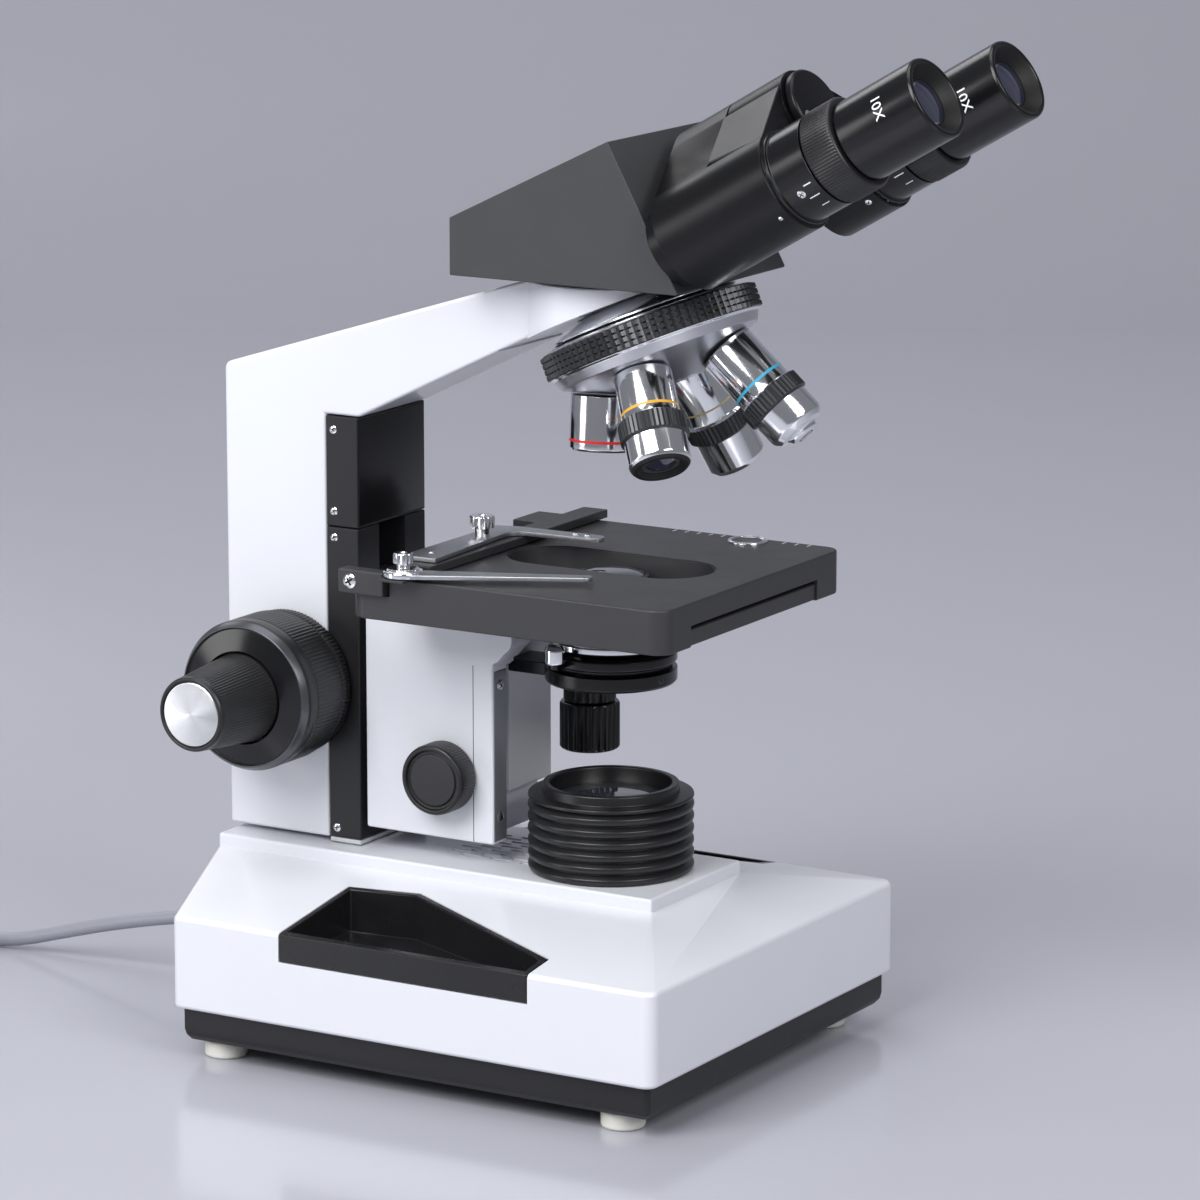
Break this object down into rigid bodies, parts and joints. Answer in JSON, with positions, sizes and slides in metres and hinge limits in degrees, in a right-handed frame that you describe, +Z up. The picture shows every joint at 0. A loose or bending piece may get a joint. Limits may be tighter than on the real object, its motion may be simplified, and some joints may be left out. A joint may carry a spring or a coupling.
{
  "type": "compound microscope",
  "caption": "Binocular compound microscope: white stand with lamp base, mechanical stage, iris condenser, rotating nosepiece and hinged eye tubes; mains lead at the rear.",
  "frame": {"origin": "on the table, under the middle of the stand and head; the optical axis passes through it", "axes": "+Z up, -Y towards the user, +X to the right of the user"},
  "size_m": [0.187, 0.4961, 0.3665],
  "materials": {
    "enamel_white": "gloss enamel",
    "paint_black": "satin black paint",
    "plastic_black": "moulded, knurled",
    "anodised_black": "gloss black anodised",
    "chrome": "polished",
    "steel_satin": "satin",
    "rubber_ivory": "matt",
    "lens_glass": "coated",
    "cable_grey": "smooth PVC",
    "ceramic": "matt",
    "transformer_core": "varnished"
  },
  "bodies": {
    "stand": {"base_shell": "enamel_white", "base_plate": "paint_black", "foot_front_left": "rubber_ivory", "foot_front_right": "rubber_ivory", "foot_rear_left": "rubber_ivory", "foot_rear_right": "rubber_ivory", "grip_pocket_left": "plastic_black", "grip_pocket_right": "plastic_black", "light_collector": "anodised_black", "field_glass": "lens_glass", "lamp_socket": "ceramic", "halogen_lamp": "lens_glass", "transformer": "transformer_core", "arm": "enamel_white", "guide_cover_lower": "paint_black", "guide_cover_upper": "paint_black", "nosepiece_mount": "chrome", "seat_ring": "chrome", "cord_strain_relief": "cable_grey", "cord_lead": "cable_grey", "cord_coil": "cable_grey", "mains_plug": "plastic_black"},
    "dimmer": {"dimmer_dial": "plastic_black"},
    "rocker": {"power_switch": "plastic_black"},
    "tension": {"tension_ring": "plastic_black"},
    "coarse_knobs": {"coarse_knob_left": "plastic_black", "coarse_knob_right": "plastic_black", "coarse_shaft": "steel_satin"},
    "fine_knobs": {"fine_knob_left": "plastic_black", "fine_knob_right": "plastic_black", "fine_shaft": "steel_satin"},
    "coarse_slide": {"focus_slide": "steel_satin"},
    "stage_block": {"stage_carrier": "enamel_white", "stage_base": "paint_black"},
    "condenser_knob_shaft": {"condenser_knob": "plastic_black"},
    "condenser": {"condenser_carrier": "enamel_white", "condenser_body": "anodised_black", "condenser_lens": "lens_glass"},
    "iris": {"iris_ring": "anodised_black"},
    "stage_plate": {"stage_top": "paint_black", "x_rail": "paint_black", "stage_drive_post": "anodised_black"},
    "carriage": {"x_carriage": "paint_black", "slide_holder": "steel_satin"},
    "finger": {"spring_finger": "steel_satin"},
    "knob_y": {"stage_knob_y": "plastic_black"},
    "knob_x": {"stage_knob_x": "plastic_black"},
    "nosepiece": {"turret": "steel_satin", "objective_4x": "chrome", "objective_10x": "chrome", "objective_40x": "chrome", "objective_100x": "chrome"},
    "head": {"head_body": "paint_black", "hinge_pin": "paint_black"},
    "tube_left": {"tube_housing_left": "paint_black"},
    "tube_right": {"tube_housing_right": "paint_black"},
    "diopter_left": {"diopter_ring_left": "plastic_black"},
    "diopter_right": {"diopter_ring_right": "plastic_black"},
    "eye_left": {"eyepiece_left": "anodised_black"},
    "eye_right": {"eyepiece_right": "anodised_black"}
  },
  "joints": [
    {"name": "head_swivel", "type": "hinge", "parent": "stand", "child": "head", "pos_m": [0, 0, 0.282], "axis": [0, 0, 1], "continuous": true},
    {"name": "eye_spacing_left", "type": "hinge", "parent": "head", "child": "tube_left", "pos_m": [0, -0.0292, 0.31485], "axis": [0, 0.866, -0.5], "range_deg": [-4, 24]},
    {"name": "eye_spacing_right", "type": "hinge", "parent": "head", "child": "tube_right", "pos_m": [0, -0.0292, 0.31485], "axis": [0, -0.866, 0.5], "range_deg": [-4, 24]},
    {"name": "diopter_left_turn", "type": "hinge", "parent": "tube_left", "child": "diopter_left", "pos_m": [-0.0295, -0.0402, 0.2958], "axis": [0, -0.866, 0.5], "range_deg": [-150, 150]},
    {"name": "diopter_right_turn", "type": "hinge", "parent": "tube_right", "child": "diopter_right", "pos_m": [0.0295, -0.0402, 0.2958], "axis": [0, -0.866, 0.5], "range_deg": [-150, 150]},
    {"name": "eyepiece_left_lift", "type": "slide", "parent": "tube_left", "child": "eye_left", "axis": [0, -0.866, 0.5], "range_m": [0, 0.022]},
    {"name": "eyepiece_right_lift", "type": "slide", "parent": "tube_right", "child": "eye_right", "axis": [0, -0.866, 0.5], "range_m": [0, 0.022]},
    {"name": "nosepiece_turn", "type": "hinge", "parent": "stand", "child": "nosepiece", "pos_m": [0, 0, 0.299], "axis": [0, 0.3971, 0.9178], "continuous": true},
    {"name": "coarse_focus", "type": "slide", "parent": "stand", "child": "coarse_slide", "axis": [0, 0, 1], "range_m": [-0.007, 0.0145]},
    {"name": "coarse_knob_turn", "type": "hinge", "parent": "stand", "child": "coarse_knobs", "pos_m": [0, 0.1207, 0.1266], "axis": [-1, 0, 0], "range_deg": [-70, 140]},
    {"name": "fine_focus", "type": "slide", "parent": "coarse_slide", "child": "stage_block", "axis": [0, 0, 1], "range_m": [-0.0005, 0.0005]},
    {"name": "fine_knob_turn", "type": "hinge", "parent": "stand", "child": "fine_knobs", "pos_m": [0, 0.1207, 0.1266], "axis": [-1, 0, 0], "range_deg": [-900, 900]},
    {"name": "tension_turn", "type": "hinge", "parent": "stand", "child": "tension", "pos_m": [0, 0.1207, 0.1266], "axis": [-1, 0, 0], "range_deg": [-40, 120]},
    {"name": "condenser_focus", "type": "slide", "parent": "stage_block", "child": "condenser", "axis": [0, 0, 1], "range_m": [-0.015, 0.0015]},
    {"name": "condenser_knob_turn", "type": "hinge", "parent": "stage_block", "child": "condenser_knob_shaft", "pos_m": [0, 0.0546, 0.1], "axis": [-1, 0, 0], "range_deg": [-86, 9]},
    {"name": "iris_lever", "type": "hinge", "parent": "condenser", "child": "iris", "pos_m": [0, 0, 0.146], "axis": [0, 0, 1], "range_deg": [-20, 45]},
    {"name": "stage_y", "type": "slide", "parent": "stage_block", "child": "stage_plate", "axis": [0, 1, 0], "range_m": [-0.025, 0.02]},
    {"name": "stage_y_knob", "type": "hinge", "parent": "stage_plate", "child": "knob_y", "pos_m": [0.047, 0.037, 0.125], "axis": [0, 0, 1], "range_deg": [-287, 230]},
    {"name": "stage_x", "type": "slide", "parent": "stage_plate", "child": "carriage", "axis": [1, 0, 0], "range_m": [-0.01, 0.045]},
    {"name": "stage_x_knob", "type": "hinge", "parent": "stage_plate", "child": "knob_x", "pos_m": [0.047, 0.037, 0.108], "axis": [0, 0, 1], "range_deg": [-115, 516]},
    {"name": "finger_open", "type": "hinge", "parent": "carriage", "child": "finger", "pos_m": [-0.064, 0.0452, 0.181], "axis": [0, 0, -1], "range_deg": [0, 25], "stiffness_Nm_per_rad": 0.05},
    {"name": "dimmer_turn", "type": "hinge", "parent": "stand", "child": "dimmer", "pos_m": [0.063, 0.1376, 0.036], "axis": [0.3737, 0.9276, 0], "range_deg": [0, 270]},
    {"name": "power_rock", "type": "hinge", "parent": "stand", "child": "rocker", "pos_m": [0.024, 0.1395, 0.0355], "axis": [-1, 0, 0], "range_deg": [0, 10]}
  ],
  "couplings": [
    {"joint": "eye_spacing_right", "follows": "eye_spacing_left", "ratio": 1},
    {"joint": "coarse_knob_turn", "follows": "coarse_focus", "rad_per_m": 166.67},
    {"joint": "fine_knob_turn", "follows": "fine_focus", "rad_per_m": 31416},
    {"joint": "condenser_knob_turn", "follows": "condenser_focus", "rad_per_m": 100},
    {"joint": "stage_y_knob", "follows": "stage_y", "rad_per_m": 200},
    {"joint": "stage_x_knob", "follows": "stage_x", "rad_per_m": 200}
  ]
}
